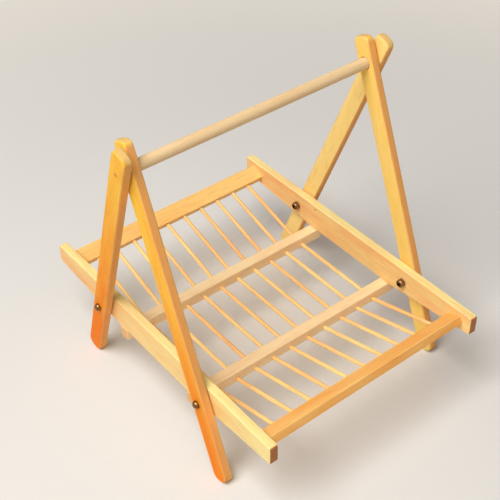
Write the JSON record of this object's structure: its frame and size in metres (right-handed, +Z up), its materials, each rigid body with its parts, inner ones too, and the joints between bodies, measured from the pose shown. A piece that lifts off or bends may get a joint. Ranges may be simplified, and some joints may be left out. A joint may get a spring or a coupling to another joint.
{
  "type": "bamboo serving basket",
  "caption": "Open serving basket: a shallow trough of round bamboo slats between two boards, hung from folding A-frame legs with a carrying dowel on top.",
  "frame": {"origin": "middle of the footprint, on the floor that the feet stand on", "axes": "+Z up, +X along the carrying dowel from left to right, +Y along the side boards to the back"},
  "size_m": [0.2456, 0.283, 0.2611],
  "materials": {
    "pale_bamboo": "sanded pale bamboo with a thin satin varnish",
    "honey_bamboo": "sanded honey bamboo with a thin satin varnish",
    "amber_bamboo": "carbonised amber bamboo strip with a satin varnish",
    "cream_bamboo": "turned cream-coloured dowel, lightly varnished",
    "steel": "plated steel, polished domes"
  },
  "bodies": {
    "tray": {"side_board_left": "pale_bamboo", "side_board_right": "pale_bamboo", "back_rail": "honey_bamboo", "front_rail": "honey_bamboo", "back_mid_bar": "honey_bamboo", "front_mid_bar": "honey_bamboo", "back_slat_01": "pale_bamboo", "back_slat_02": "pale_bamboo", "back_slat_03": "pale_bamboo", "back_slat_04": "pale_bamboo", "back_slat_05": "pale_bamboo", "back_slat_06": "pale_bamboo", "back_slat_07": "pale_bamboo", "back_slat_08": "pale_bamboo", "back_slat_09": "pale_bamboo", "back_slat_10": "pale_bamboo", "middle_slat_01": "pale_bamboo", "middle_slat_02": "pale_bamboo", "middle_slat_03": "pale_bamboo", "middle_slat_04": "pale_bamboo", "middle_slat_05": "pale_bamboo", "middle_slat_06": "pale_bamboo", "middle_slat_07": "pale_bamboo", "middle_slat_08": "pale_bamboo", "middle_slat_09": "pale_bamboo", "middle_slat_10": "pale_bamboo", "front_slat_01": "pale_bamboo", "front_slat_02": "pale_bamboo", "front_slat_03": "pale_bamboo", "front_slat_04": "pale_bamboo", "front_slat_05": "pale_bamboo", "front_slat_06": "pale_bamboo", "front_slat_07": "pale_bamboo", "front_slat_08": "pale_bamboo", "front_slat_09": "pale_bamboo", "front_slat_10": "pale_bamboo", "front_screw_left": "steel", "front_screw_right": "steel", "front_cap_nut_left": "steel", "front_cap_nut_right": "steel", "back_screw_left": "steel", "back_screw_right": "steel"},
    "front_frame": {"front_leg_left": "amber_bamboo", "front_leg_right": "amber_bamboo", "handle_dowel": "cream_bamboo", "handle_pin_left": "steel", "handle_pin_right": "steel"},
    "back_leg_left": {"back_leg_left": "amber_bamboo", "back_cap_nut_left": "steel"},
    "back_leg_right": {"back_leg_right": "amber_bamboo", "back_cap_nut_right": "steel"}
  },
  "joints": [
    {"name": "front_frame_fold", "type": "hinge", "parent": "tray", "child": "front_frame", "pos_m": [0, -0.067, 0.0664], "axis": [-1, 0, 0], "range_deg": [0, 62.8]},
    {"name": "back_leg_left_swing", "type": "hinge", "parent": "front_frame", "child": "back_leg_left", "pos_m": [-0.1182, 0.002, 0.2401], "axis": [-0.9977, 0.0673, 0], "range_deg": [0, 38]},
    {"name": "back_leg_right_swing", "type": "hinge", "parent": "front_frame", "child": "back_leg_right", "pos_m": [0.1182, 0.002, 0.2401], "axis": [-0.9977, -0.0673, 0], "range_deg": [0, 38]}
  ]
}
